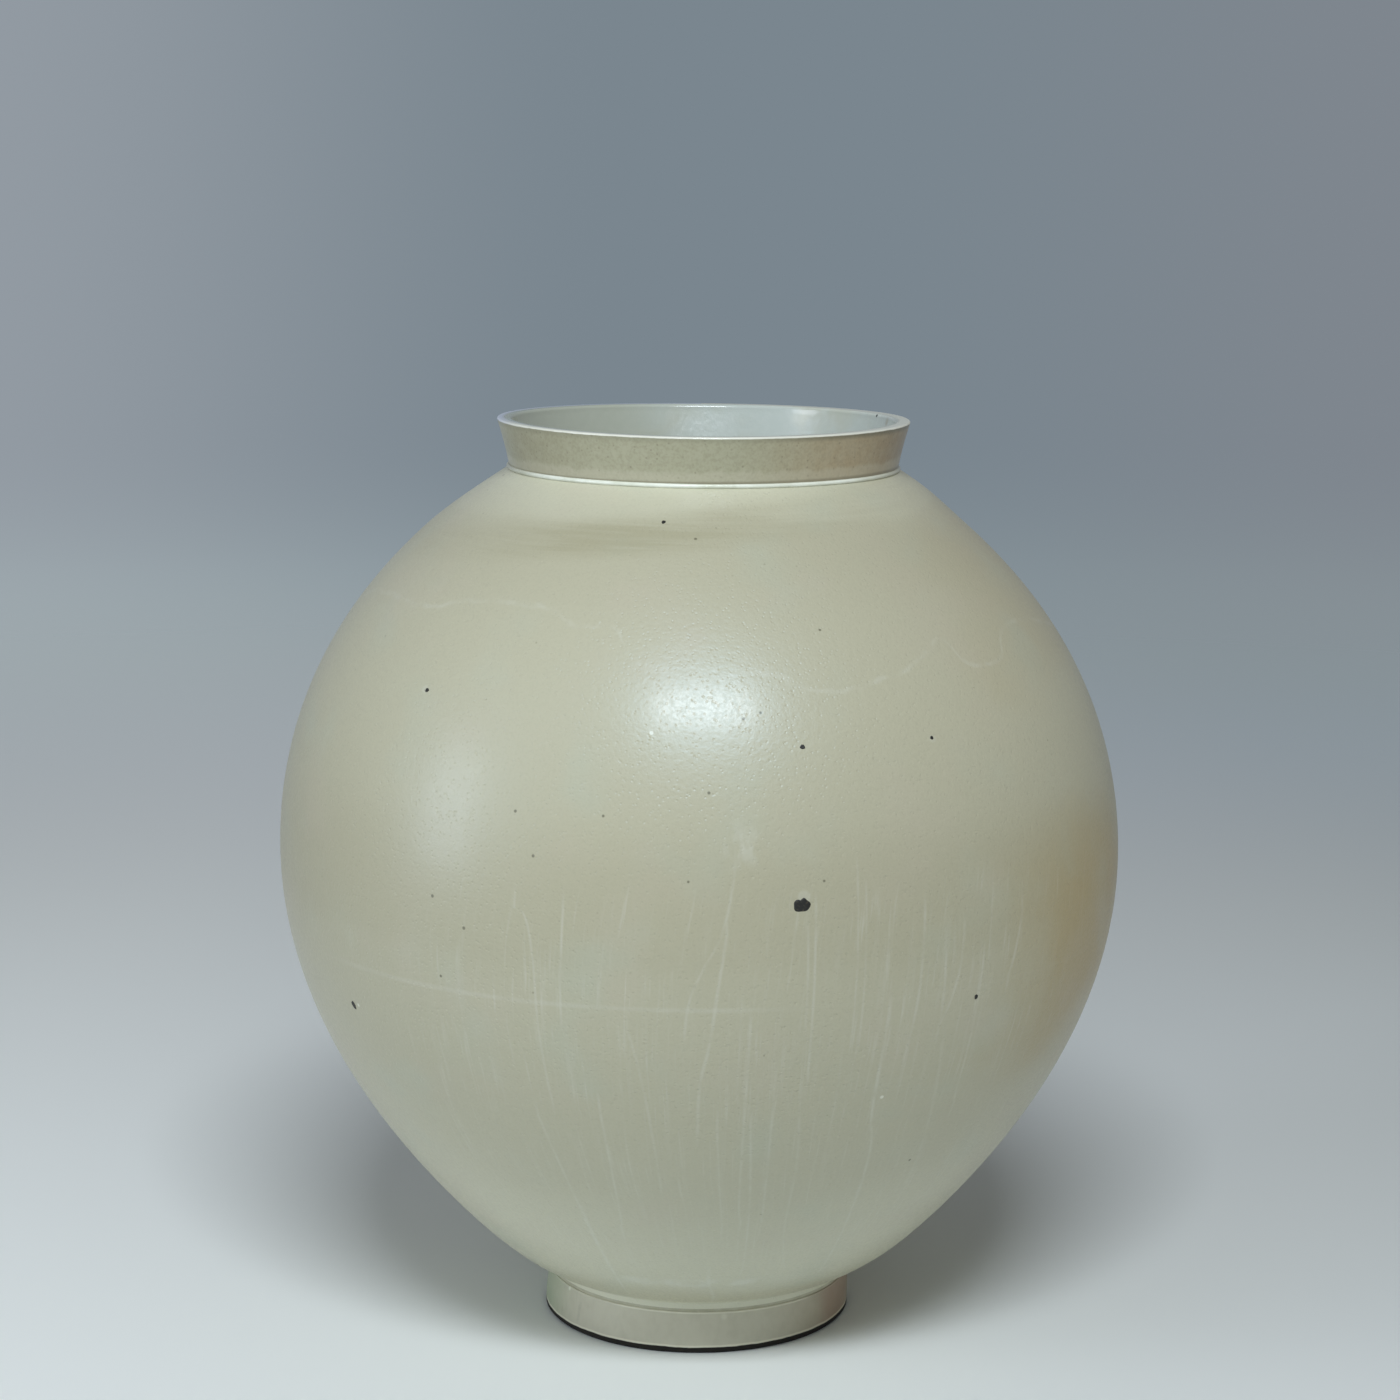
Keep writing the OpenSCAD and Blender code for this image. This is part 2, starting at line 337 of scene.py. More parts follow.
def glaze_tone(glaze):
    """Grey-green where the glaze lies thick, olive where it is thin, tan on one flank. Low down over the
    turn above the foot it is also painted paler, as painted light.
    """
    drift = glaze.cloud(60 * mm, detail=3, stretch=(1, 1, 2.2))
    level = glaze.maths("MULTIPLY_ADD", drift, 14 * mm, glaze.maths("SUBTRACT", glaze.level, 7 * mm))
    # The lowest stops, over the turn above the foot, are raised as painted light that lifts the shade of the
    # down-facing turn
    stops = ((15, 0.5), (27, 0.75), (36, 1), (55, 0.88), (85, 0.44), (110, 0.28), (140, 0.2), (153, 0.1))
    stops += ((163, 0.0), (180, 0.04), (205, 0.24), (250, 0.33), (268, 0.26), (276, 0.26))
    stops += ((283, 0.6), (290, 0.95))
    thickness_and_painted_light = glaze.curve(level, [(height * mm, share) for height, share in stops])
    colour = glaze.mix(thickness_and_painted_light, fired(173, 166, 138), fired(200, 196, 170))

    # A brushed dark band under the neck, in fine level strokes
    rising = glaze.maths("MULTIPLY_ADD", glaze.angle, -7.5 * mm, glaze.level)
    strokes = glaze.cloud(9 * mm, detail=4, stretch=(0.3, 0.3, 9), seed=5.0)
    strokes = glaze.maths("MULTIPLY_ADD", glaze.band(strokes, 0.3, 0.66), 0.6, 0.4)
    brushed = glaze.maths("MULTIPLY", glaze.between(rising, 278.5 * mm, 282.5 * mm, 5.5 * mm), strokes)
    left = glaze.between(glaze.angle, -25 * degrees, -4 * degrees, 28 * degrees)
    brushed = glaze.maths("MULTIPLY", brushed, glaze.maths("MULTIPLY_ADD", left, 0.36, 0.18))
    colour = glaze.mix(brushed, colour, fired(156, 148, 116))

    # The flank that faced the fire: tan, patchy at its edge, with a fainter patch above
    patch = glaze.cloud(26 * mm, detail=3, seed=8.0)
    sway = glaze.maths("MULTIPLY_ADD", patch, 24 * degrees, glaze.angle)
    flank = glaze.between(sway, 76 * degrees, 112 * degrees, 30 * degrees)
    height = glaze.maths("MULTIPLY_ADD", patch, 30 * mm, glaze.level)
    low = glaze.between(height, 150 * mm, 178 * mm, 40 * mm)
    high = glaze.maths("MULTIPLY", glaze.between(height, 255 * mm, 280 * mm, 20 * mm), 0.2)
    flank = glaze.maths("MULTIPLY", flank, glaze.maths("MAXIMUM", low, high))
    colour = glaze.stain(colour, flank, 0.9, fired(172, 151, 104))

    # A breath of pink and green where the fire turned, and a fine salt-and-pepper grain
    green = glaze.maths("MULTIPLY", glaze.band(glaze.cloud(30 * mm, seed=11.0), 0.5, 0.8), 0.3)
    colour = glaze.mix(green, colour, fired(176, 183, 163))
    pink = glaze.maths("MULTIPLY", glaze.band(glaze.cloud(34 * mm, seed=12.0), 0.5, 0.85), 0.3)
    colour = glaze.mix(pink, colour, fired(190, 177, 156))
    grain_tone = glaze.band(glaze.cloud(0.8 * mm, detail=2, seed=13.0), 0.3, 0.7)
    return glaze.mix(glaze.maths("MULTIPLY_ADD", grain_tone, -0.10, 0.05), colour, fired(110, 106, 88))


def pour_line(glaze):
    """The edge of the second pour of glaze: a thin pale line that wanders round the shoulder."""
    route = ((-180, 247), (-130, 256), (-95, 246), (-70, 255), (-52, 254.5), (-45, 257.3), (-31, 258.6))
    route += ((-23, 256), (-19.5, 253.6), (-15, 254), (-11.5, 247.5), (-5, 242.3), (3, 240.8), (9, 241.6))
    route += ((14, 238), (20, 236), (26, 238), (33, 240.6), (36.5, 244.3), (38.5, 244.8), (40.5, 247.6))
    route += ((43, 243.8), (47, 238.6), (51, 238.6), (55, 243.4), (62, 248), (90, 241))
    route += ((135, 252), (180, 247))
    path = glaze.curve(glaze.angle, [(angle * degrees, level * mm) for angle, level in route])
    ripple = glaze.maths("MULTIPLY_ADD", glaze.cloud(4 * mm, detail=2, seed=21.0), 2.4 * mm, -1.2 * mm)
    away = glaze.maths("ABSOLUTE", glaze.maths("SUBTRACT", glaze.level, glaze.maths("ADD", path, ripple)))
    breaks = glaze.band(glaze.cloud(7 * mm, detail=2, seed=22.0), 0.38, 0.64)
    shown = glaze.maths("MULTIPLY_ADD", breaks, 0.14, 0.025)
    return glaze.maths("MULTIPLY", glaze.band(away, 1.1 * mm, 0.1 * mm), shown)


def wiped_streaks(glaze):
    """Fine pale streaks down the lower wall, where wet glaze was wiped towards the foot."""
    leans = ((30, -3.2), (60, -1.6), (110, 0), (185, -2.0))
    lean = glaze.curve(glaze.level, [(level * mm, angle * degrees) for level, angle in leans])
    wander = glaze.maths("MULTIPLY", glaze.cloud(26 * mm, detail=1, seed=3.0), 1.0 * degrees)
    turn = glaze.maths("ADD", glaze.maths("ADD", glaze.angle, lean), wander)

    # Hairs of three finenesses, each a grain drawn out down the wall between two levels
    streaks = None
    for size, length, low, high, strength in (
        (0.48, 20, 132, 172, 0.2),
        (0.5, 34, 36, 128, 0.24),
        (1.3, 60, 40, 160, 0.12),
    ):
        across = glaze.maths("MULTIPLY", turn, 1 / (size * degrees))
        down = glaze.maths("MULTIPLY", glaze.level, 1 / (length * mm))
        drawn = glaze.node("CombineXYZ", {0: across, 1: down, 2: 10 * size}).outputs[0]
        hairs = glaze.node("TexNoise", {"Vector": drawn, "Scale": 1.0, "Detail": 2.0}).outputs[0]
        hairs = glaze.maths("MULTIPLY", glaze.band(hairs, 0.52, 0.78), strength)
        hairs = glaze.maths("MULTIPLY", hairs, glaze.between(glaze.level, low * mm, high * mm, 14 * mm))
        streaks = hairs if streaks is None else glaze.maths("ADD", streaks, hairs)
    patches = glaze.band(glaze.cloud(16 * mm, detail=2, stretch=(1, 1, 0.6), seed=6.0), 0.36, 0.62)
    streaks = glaze.maths("MULTIPLY", streaks, glaze.maths("MULTIPLY_ADD", patches, 0.75, 0.25))
    front = glaze.between(glaze.angle, -30 * degrees, 47 * degrees, 22 * degrees)
    behind = glaze.band(glaze.maths("ABSOLUTE", glaze.angle), 175 * degrees, 140 * degrees)
    front = glaze.maths("MAXIMUM", front, glaze.maths("MULTIPLY", behind, 0.3))
    streaks = glaze.maths("MULTIPLY", streaks, front)

    # The stronger strokes, each from its top to its foot, in degrees and mm, with its weight
    strokes = (
        (((4.4, 186), (3, 168), (0.4, 155), (-1, 146), (-1.6, 136)), 0.28, 0.34),
        (((3.4, 166), (2.3, 147), (1.5, 132), (0.2, 115), (0, 102)), 0.3, 0.42),
        (((-23, 172), (-20.6, 158), (-20.4, 135), (-20, 110)), 0.26, 0.34),
        (((-16.6, 172), (-17.2, 142)), 0.26, 0.42),
        (((13.4, 168), (13.5, 141)), 0.24, 0.34),
        (((14.4, 172), (14.3, 145), (14.4, 119)), 0.24, 0.44),
        (((19.8, 182), (19.7, 132)), 0.22, 0.3),
        (((20.9, 175), (20.8, 133)), 0.22, 0.3),
        (((29, 168), (28.6, 144), (27.9, 124)), 0.3, 0.42),
        (((35, 160), (34.3, 146), (32.4, 132)), 0.3, 0.42),
        (((32.3, 152), (32.5, 140)), 0.3, 0.45),
        (((45.2, 164), (44.4, 154), (43.4, 144)), 0.34, 0.48),
        (((38.4, 150), (38.3, 125), (39.2, 102)), 0.26, 0.42),
        (((24.6, 138), (24.6, 108), (26.4, 90), (28, 66), (29.4, 50), (31, 36)), 0.34, 0.55),
        (((13.8, 108), (15, 85), (15.6, 65), (17.4, 50), (20, 40)), 0.3, 0.34),
        (((10.1, 117), (10.4, 92), (11.4, 62)), 0.28, 0.42),
        (((6.5, 137), (6.4, 95), (7.6, 64)), 0.28, 0.42),
        (((7.3, 102), (8.6, 72), (10, 42)), 0.28, 0.5),
        (((2.7, 102), (3.5, 78), (4.4, 62)), 0.26, 0.42),
        (((-8.8, 136), (-7, 114), (-5.7, 79)), 0.28, 0.3),
        (((-13.3, 107), (-13.1, 82), (-13.9, 60)), 0.28, 0.5),
        (((-22.6, 103), (-21.1, 80), (-20.2, 60)), 0.3, 0.4),
        (((-20.4, 62), (-20.2, 40), (-20.6, 28)), 0.55, 0.62),
        (((33.6, 124), (36, 90), (38.4, 62)), 0.4, 0.28),
        (((2.6, 36), (3.4, 31), (4.8, 25)), 0.6, 0.5),
    )
    for route, width, weight in strokes:
        steps = [(level * mm, angle * degrees) for angle, level in reversed(route)]
        path = glaze.curve(glaze.level, steps)
        off = glaze.maths("SUBTRACT", glaze.maths("MULTIPLY_ADD", wander, 0.15, glaze.angle), path)
        line = glaze.band(glaze.maths("ABSOLUTE", off), 1.3 * width * degrees, 0)
        line = glaze.maths("MULTIPLY", line, glaze.between(glaze.level, steps[0][0], steps[-1][0], 9 * mm))
        streaks = glaze.maths("MAXIMUM", streaks, glaze.maths("MULTIPLY", line, 0.5 * weight))
    wear_and_highlight = glaze.band(glaze.cloud(3.2 * mm, detail=3, stretch=(1, 1, 0.25), seed=4.0), 0.32, 0.6)
    return glaze.maths("MULTIPLY", streaks, glaze.maths("MULTIPLY_ADD", wear_and_highlight, 0.75, 0.25))


def inside_colour(glaze):
    """Inside the jar the glaze pooled: pale blue-grey, warmer in patches where it is thin."""
    patch = glaze.band(glaze.cloud(20 * mm, detail=3, seed=41.0), 0.48, 0.72)
    colour = glaze.mix(glaze.maths("MULTIPLY", patch, 0.55), fired(190, 196, 185), fired(186, 183, 158))
    mist = glaze.band(glaze.cloud(3 * mm, detail=3, seed=42.0), 0.35, 0.7)
    return glaze.stain(colour, mist, 0.12, fired(214, 214, 204))


def body_glaze():
    """The satin glaze of both bowls, poured in two goes and wiped down at the foot."""
    glaze = Finish("body_glaze", roughness=0.37, coat=0.25, coat_roughness=0.2)
    glaze.surface["Specular Tint"].default_value = (0.62, 0.84, 1, 1)
    ghost = fired(214, 214, 200)
    colour = glaze_tone(glaze)
    colour = glaze.mix(pour_line(glaze), colour, ghost)
    colour = glaze.mix(wiped_streaks(glaze), colour, ghost)

    # The seam shows as a faint line, plain at the left of the front and lost at the right
    away = glaze.maths("ABSOLUTE", glaze.maths("SUBTRACT", glaze.level, seam_level))
    seam = glaze.band(away, 1.3 * mm, 0.1 * mm)
    plain = glaze.between(glaze.angle, -46 * degrees, 2 * degrees, 12 * degrees)
    rubbed = glaze.band(glaze.cloud(9 * mm, detail=3, seed=7.0), 0.3, 0.6)
    plain = glaze.maths("MULTIPLY", plain, glaze.maths("MULTIPLY_ADD", rubbed, 0.07, 0.045))
    seam = glaze.maths("MULTIPLY", seam, glaze.maths("ADD", plain, 0.015))
    colour = glaze.mix(seam, colour, ghost)

    # Specks of iron too small to stand proud, a few pale pinholes, and pale haloes
    specks = ((1.4, 208.5, 0.9), (-23.6, 200.8, 0.9), (-11.9, 201.2, 0.7), (-20.7, 188.2, 0.9))
    specks += ((-1.2, 182.7, 0.6), (-34.9, 172.2, 1.1), (-30.1, 163.8, 1.1), (-34.1, 147.1, 0.8))
    specks += ((34.9, 81.9, 0.9), (6.3, 229.2, 0.9), (8.7, 230.8, 0.8), (-0.6, 278.3, 0.9))
    specks += ((19.9, 252.9, 0.7), (-76.7, 290.6, 0.8), (15.5, 182, 0.6))
    pinholes = ((-6.2, 225.2, 1.0), (25.5, 109.5, 1.0), (-52, 128.8, 0.9))
    haloes = ((12.9, 177.6, 3.4), (-42.7, 232, 1.6), (33.4, 220.3, 1.3))
    colour = glaze.stain(colour, glaze.dots(haloes, 0.4, 1.1), 0.16, ghost)
    colour = glaze.stain(colour, glaze.dots(pinholes, 0.45, 0.35), 0.7, fired(226, 224, 206))
    colour = glaze.stain(colour, glaze.dots(specks, 0.3, 0.4), 0.75, fired(92, 86, 62))
    dust = glaze.node("TexVoronoi", {"Vector": glaze.place, "Scale": 1 / (5 * mm)}).outputs
    sown = glaze.band(glaze.node("SeparateColor", {"Color": dust["Color"]}).outputs[0], 0.86, 1)
    dust = glaze.maths("MULTIPLY", glaze.band(dust["Distance"], 0.10, 0.03), sown)
    colour = glaze.stain(colour, dust, 0.5, fired(112, 106, 82))

    # The lower edge of the glaze lies pale and lumpy over the turn above the foot, and
    # under the turn the colour is painted pale: painted light that lifts the shade of the down-facing turn
    lumps = glaze.band(glaze.cloud(7 * mm, detail=2, seed=15.0), 0.4, 0.62)
    lap = glaze.maths("MULTIPLY", glaze.between(glaze.level, 32.5 * mm, 34 * mm, 2.2 * mm), lumps)
    near = glaze.between(glaze.angle, -16 * degrees, 12 * degrees, 5 * degrees)
    lap = glaze.maths("MULTIPLY", lap, glaze.maths("MULTIPLY_ADD", near, 0.3, 0.06))
    colour = glaze.mix(lap, colour, ghost)
    painted_light_under_turn = glaze.maths("MULTIPLY", glaze.band(glaze.level, 21.5 * mm, 18 * mm), 0.75)
    colour = glaze.mix(painted_light_under_turn, colour, fired(222, 219, 194))
    smudge = glaze.band(glaze.cloud(4 * mm, detail=3, stretch=(1, 1, 0.5), seed=9.0), 0.42, 0.62)
    smudge = glaze.maths("MULTIPLY", smudge, glaze.dots(((5.4, 193, 1),), 1, 9))
    colour = glaze.stain(colour, smudge, 0.22, ghost)

    # Inside the wall's middle line the surface is the jar's inside
    lowest = 22 * mm
    heights = np.linspace(lowest, seat_level, 16)
    middle_line = [(height, upper_outside(height) - wall / 2) for height in heights]
    within = glaze.maths("SUBTRACT", glaze.curve(glaze.level, middle_line), glaze.out)
    inner = glaze.band(within, -0.5 * mm, 0.5 * mm)
    inner = glaze.maths("MULTIPLY", inner, glaze.band(glaze.level, lowest, lowest + 2 * mm))
    colour = glaze.mix(inner, colour, inside_colour(glaze))
    glaze.feed(glaze.surface["Base Color"], colour)
    glaze.feed(glaze.surface["Roughness"], glaze.maths("MULTIPLY_ADD", inner, -0.13, 0.37))
    glint = glaze.band(glaze.cloud(0.9 * mm, detail=2, seed=33.0), 0.36, 0.62)
    glaze.feed(glaze.surface["Coat Weight"], glaze.maths("MULTIPLY_ADD", glint, 0.2, 0.07))

    # Throwing lines, orange peel and pinpricks, which break up the shine
    rings = glaze.cloud(3.2 * mm, detail=3, stretch=(0.02, 0.02, 1), seed=31.0)
    glaze.bump(rings, 0.05 * mm)
    glaze.bump(glaze.cloud(1.3 * mm, detail=4, seed=32.0), 0.13 * mm)
    pricks = glaze.node("TexVoronoi", {"Vector": glaze.place, "Scale": 1 / (1.6 * mm)}).outputs["Distance"]
    glaze.bump(glaze.band(pricks, 0.0, 0.35), 0.09 * mm)
    return glaze.material


lower_outline = [
    (0, underside_level + underside_rise, 0),
    *[
        (recess_radius * share, underside_level + underside_rise * (1 - share**2), 0)
        for share in (0.25, 0.5, 0.75)
    ],
    *reversed(scored(waist_radius, recess_radius, underside_level, 3, score_depth)),
    *wall_points(lower_outside, waist_level, seam_bottom, 120, crowding=1.7),
    *scored(lower_outside(seam_bottom), lower_inside(seam_bottom), seam_bottom, 1, -tongue_depth),
    *reversed(wall_points(lower_inside, floor_level, coil_bottom, 70, finger_ridge, crowding=1.7)),
    *[(floor_radius * share, floor_level, finger_ridge) for share in np.linspace(0.96, 0.04, 24)],
    (0, floor_level, 0),
]
glaze_finish = body_glaze()
lower_bowl = turned("lower_bowl_thrown", lower_outline, glaze_finish)
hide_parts("lower_bowl")

# Belly slip: liquid clay brushed on the two rims before they are pressed together. It
# fills the groove and tongue, and its edge shows as a faint line round the belly.
slip_outline = [
    *scored(lower_outside(seam_bottom), lower_inside(seam_bottom), seam_bottom, 1, -tongue_depth),
    *reversed(scored(lower_outside(seam_top), lower_inside(seam_top), seam_top, 1, -tongue_depth)),
]
belly_slip = turned("belly_slip_line", slip_outline, glaze_finish, closed=True)
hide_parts("belly_slip")

# Upper bowl: the other thrown half, turned mouth down on the lower one. Its shoulder
# turns in fully to the seat for the collar, and the opened base is the jar's throat.
upper_outline = [
    *wall_points(upper_outside, seam_top, seat_level, 150),
    *scored(neck_radius, throat_radius, seat_level, 2, -score_depth),
    *reversed(wall_points(upper_inside, coil_top, throat_level, 90, finger_ridge)),
    *reversed(scored(lower_outside(seam_top), lower_inside(seam_top), seam_top, 1, -tongue_depth)),
]
upper_bowl = turned("upper_bowl_thrown", upper_outline, glaze_finish, closed=True)
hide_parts("upper_bowl")

# Seam coil: a roll of soft clay pressed over the seam from inside, so that it doesn't
# open in drying. The potter's fingertips leave a row of shallow dabs along it.
coil_thickness = 3 * mm
dab_width = 15 * mm
dab_depth = 0.7 * mm


def coil_points():
    """The coil's outline, from the wall at its top down over its swell to the wall below."""
    steps = np.linspace(0, 1, 25)[1:-1]
    levels = coil_top + (coil_bottom - coil_top) * steps
    edges = lower_inside(coil_top) * (1 - steps) + lower_inside(coil_bottom) * steps
    swell = [
        (edge - 4 * coil_thickness * t * (1 - t), level, 0)
        for edge, level, t in zip(edges, levels, steps)
    ]
    back = wall_points(lower_inside, coil_bottom, coil_top, 5)
    return back + swell


inside = Finish("inside_glaze", roughness=0.24, coat=0.5, coat_roughness=0.1)
inside.feed(inside.surface["Base Color"], inside_colour(inside))
inside.bump(inside.cloud(2.5 * mm, detail=3), 0.12 * mm)

seam_coil = turned("seam_coil_pressed", coil_points(), inside.material, closed=True)
for vertex in seam_coil.data.vertices:
    around = math.atan2(vertex.co.x, -vertex.co.y)
    out = math.hypot(vertex.co.x, vertex.co.y)
    swell = max(0, lower_inside(vertex.co.z) - 1.5 * mm - out) / coil_thickness
    press = math.sin(around * belly_radius / dab_width * math.pi + 60 * vertex.co.z) ** 2
    vertex.co.xy *= 1 + dab_depth * press * swell / out
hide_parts("seam_coil")

# Collar slip: soft slip between the shoulder and the collar. The surplus squeezes out
# in an uneven bead, painted near white: partly white slip under the thin glaze, partly a painted highlight,
# brightest across the front.
collar_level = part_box("mouth_collar")[0].z
bead_half = 0.75 * mm


def white_slip_and_highlight():
    """Fired white slip under a skin of glaze, a little uneven along the joint, painted near white across the
    front as a painted highlight and duller round both sides as painted shade.
    """
    slip = Finish("white_slip_and_highlight", roughness=0.35, coat=0.4, coat_roughness=0.12)
    thin = slip.band(slip.cloud(9 * mm, detail=3, seed=51.0), 0.4, 0.7)
    colour = slip.mix(thin, fired(230, 231, 214), fired(206, 207, 184))
    # Painted shade: the bead is darker round both sides, so the front reads as lit
    painted_side_shade = slip.band(slip.maths("ABSOLUTE", slip.angle), 40 * degrees, 78 * degrees)
    slip.feed(slip.surface["Base Color"], slip.mix(painted_side_shade, colour, fired(182, 180, 158)))
    slip.bump(slip.cloud(2.2 * mm, detail=2, seed=52.0), 0.15 * mm)
    return slip.material


bead_middle = (seat_level + collar_level) / 2
bead_outline = [
    *reversed(scored(neck_radius, throat_radius, seat_level, 2, -score_depth)),
    *[
        (neck_radius + bead_reach * math.cos(a), bead_middle + bead_half * math.sin(a), 0)
        for a in np.linspace(-math.pi / 2, math.pi / 2, 13)
    ],
    *scored(neck_radius, throat_radius, collar_level, 2, score_depth),
]
collar_slip = turned("collar_slip_bead", bead_outline, white_slip_and_highlight(), closed=True)
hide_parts("collar_slip")

# Mouth collar: a short flared ring, thrown apart and luted on the shoulder. Its thin
# glaze lets the clay mottle it olive outside; the lip and the inside are paler.
mouth_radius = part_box("mouth_collar")[1].x
lip_thickness = 5 * mm
lip_round = 1.3 * mm
lip_edge = 0.6 * mm
collar_hollow = 0.25 * mm
collar_height = lip_level - collar_level
root_bevel = 0.25 * mm


def rounded(centre, radius, start, end, steps=10):
    """Outline points round a soft edge, from one angle to another, in degrees."""
    turn = np.radians(np.linspace(start, end, steps))
    return [(centre[0] + radius * math.cos(a), centre[1] + radius * math.sin(a), 0) for a in turn]


def collar_glaze():
    """Thin mottled olive outside, near white where it drew off the lip, partly a painted highlight there,
    glossy inside. Painted shade lies at its root, under the lip and inside at the left.
    """
    glaze = Finish("collar_glaze", roughness=0.42, coat=0.4, coat_roughness=0.14)
    level = glaze.maths("MULTIPLY_ADD", glaze.x, lip_tilt, glaze.level)
    level = glaze.maths("MULTIPLY_ADD", glaze.y, lip_lean, level)
    saddle = glaze.maths("COSINE", glaze.maths("MULTIPLY", glaze.angle, 2))
    level = glaze.maths("MULTIPLY_ADD", saddle, lip_warp, level)
    top = lip_level - lip_tilt * tilt_reach - lip_drop

    left = glaze.band(glaze.angle, -20 * degrees, -62 * degrees)
    colour = glaze.mix(left, fired(166, 162, 133), fired(155, 149, 119))
    right = glaze.band(glaze.angle, 6 * degrees, 48 * degrees)
    colour = glaze.mix(right, colour, fired(169, 151, 118))
    far_right = glaze.band(glaze.angle, 46 * degrees, 80 * degrees)
    colour = glaze.mix(far_right, colour, fired(149, 125, 92))
    fine = glaze.band(glaze.cloud(0.9 * mm, detail=3, seed=61.0), 0.4, 0.66)
    colour = glaze.stain(colour, fine, 0.22, fired(116, 106, 78))
    broad = glaze.band(glaze.cloud(3.4 * mm, detail=4, seed=62.0), 0.4, 0.65)
    colour = glaze.stain(colour, broad, 0.15, fired(186, 180, 154))
    stipple = glaze.node("TexVoronoi", {"Vector": glaze.place, "Scale": 1 / (1.7 * mm)}).outputs
    sown = glaze.band(glaze.node("SeparateColor", {"Color": stipple["Color"]}).outputs[0], 0.35, 0.8)
    stipple = glaze.maths("MULTIPLY", glaze.band(stipple["Distance"], 0.3, 0.1), sown)
    colour = glaze.stain(colour, stipple, 0.4, fired(98, 90, 64))

    # A paler brushed skirt at its foot, with a scalloped upper edge, and painted shade in the crease at its
    # root
    scallop = glaze.cloud(3.5 * mm, detail=2, stretch=(1, 1, 0.1), seed=63.0)
    scallop = glaze.maths("MULTIPLY_ADD", scallop, 4 * mm, glaze.level)
    skirt = glaze.band(scallop, collar_level + 6.4 * mm, collar_level + 4.6 * mm)
    colour = glaze.stain(colour, skirt, 0.32, fired(196, 188, 164))
    # Painted shade: a dark line in the crease where the collar meets the bead
    root = glaze.band(glaze.level, collar_level + 0.9 * mm, collar_level + 0.1 * mm)
    colour = glaze.stain(colour, root, 0.6, fired(112, 104, 78))
    # Painted shade under the overhanging lip, darker at the right
    painted_shade_under_lip = glaze.maths("MULTIPLY_ADD", right, 0.4, 0.2)
    painted_shade_under_lip = glaze.maths("MULTIPLY", painted_shade_under_lip, glaze.band(level, top - 2.6 * mm, top - 0.9 * mm))
    colour = glaze.mix(painted_shade_under_lip, colour, fired(88, 88, 66))

    # How deep a point lies behind the collar's outside tells the inside and the lip
    flare = (mouth_radius - neck_radius) / collar_height
    outside = glaze.maths("MULTIPLY_ADD", glaze.level, flare, neck_radius - collar_level * flare)
    depth = glaze.maths("SUBTRACT", outside, glaze.out)
    inner = glaze.band(depth, 2.6 * mm, 3.6 * mm)
    within = inside_colour(glaze)
    # Painted shade on the inner wall at the left, olive-tan
    painted_inner_shade = glaze.between(glaze.angle, -150 * degrees, -95 * degrees, 35 * degrees)
    within = glaze.stain(within, painted_inner_shade, 0.5, fired(166, 165, 138))
    drop = glaze.maths("MULTIPLY", glaze.dab(63 * mm, 305.5 * mm, 148, 1.5 * mm, 5 * mm), 0.3)
    within = glaze.mix(drop, within, fired(226, 226, 208))
    smear = glaze.maths("MULTIPLY", glaze.dab(63.8 * mm, 307 * mm, 103, 0.5 * mm, 2.5 * mm), 0.5)
    within = glaze.mix(smear, within, fired(150, 138, 112))
    colour = glaze.mix(inner, colour, within)

    # The glaze drew off the lip's outer edge and left it cream, bluer at the far left; the cream is partly a
    # painted highlight on the rounded edge
    ragged = glaze.maths("MULTIPLY_ADD", glaze.cloud(3 * mm, detail=3, seed=64.0), 0.4 * mm, level)
    lip = glaze.band(ragged, top - 0.55 * mm, top - 0.2 * mm)
    lip = glaze.maths("MULTIPLY", lip, glaze.band(depth, 4.2 * mm, 2.2 * mm))
    bluer = glaze.band(glaze.angle, -58 * degrees, -84 * degrees)
    cream = glaze.mix(bluer, fired(222, 219, 202), fired(196, 200, 212))
    colour = glaze.mix(lip, colour, cream)
    speck = glaze.dab(64.1 * mm, 308.4 * mm, 112.5, 0.4 * mm, 0.75 * mm)
    colour = glaze.mix(speck, colour, fired(40, 42, 40))
    glaze.feed(glaze.surface["Base Color"], colour)
    glaze.feed(glaze.surface["Roughness"], glaze.maths("MULTIPLY_ADD", inner, -0.2, 0.42))
    glaze.bump(glaze.cloud(1.5 * mm, detail=3, stretch=(1, 1, 0.6), seed=65.0), 0.12 * mm)
    return glaze.material


collar_outline = [
    (neck_radius - root_bevel, collar_level, 0),
    *[
        (
            neck_radius + (mouth_radius - neck_radius) * t - 4 * collar_hollow * t * (1 - t),
            collar_level + (collar_height - lip_edge) * t,
            0,
        )
        for t in np.linspace(0.02, 1, 22)
    ],
    *rounded((mouth_radius - lip_edge, lip_level - lip_edge), lip_edge, 0, 90),
    *rounded((mouth_radius - lip_thickness + lip_round, lip_level - lip_round), lip_round, 90, 180),
    *[
        (
            mouth_radius - lip_thickness + (throat_radius - mouth_radius + lip_thickness) * t,
            lip_level - lip_round + (collar_level - lip_level + lip_round) * t,
            0,
        )
        for t in np.linspace(0.1, 1, 14)
    ],
    *reversed(scored(neck_radius - 2 * root_bevel, throat_radius, collar_level, 2, score_depth)[:-1]),
]
mouth_collar = turned("mouth_collar_thrown", collar_outline, collar_glaze(), closed=True)
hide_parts("mouth_collar")

# Foot slip: the thin layer that holds the foot ring to the trimmed underside. Its edge
# shows as a fine olive line behind the ring's arris.
foot_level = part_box("foot_ring")[1].z
joint_outline = [
    *scored(waist_radius, recess_radius, underside_level, 3, score_depth),
    *reversed(scored(waist_radius, recess_radius, foot_level, 3, -score_depth)),
]


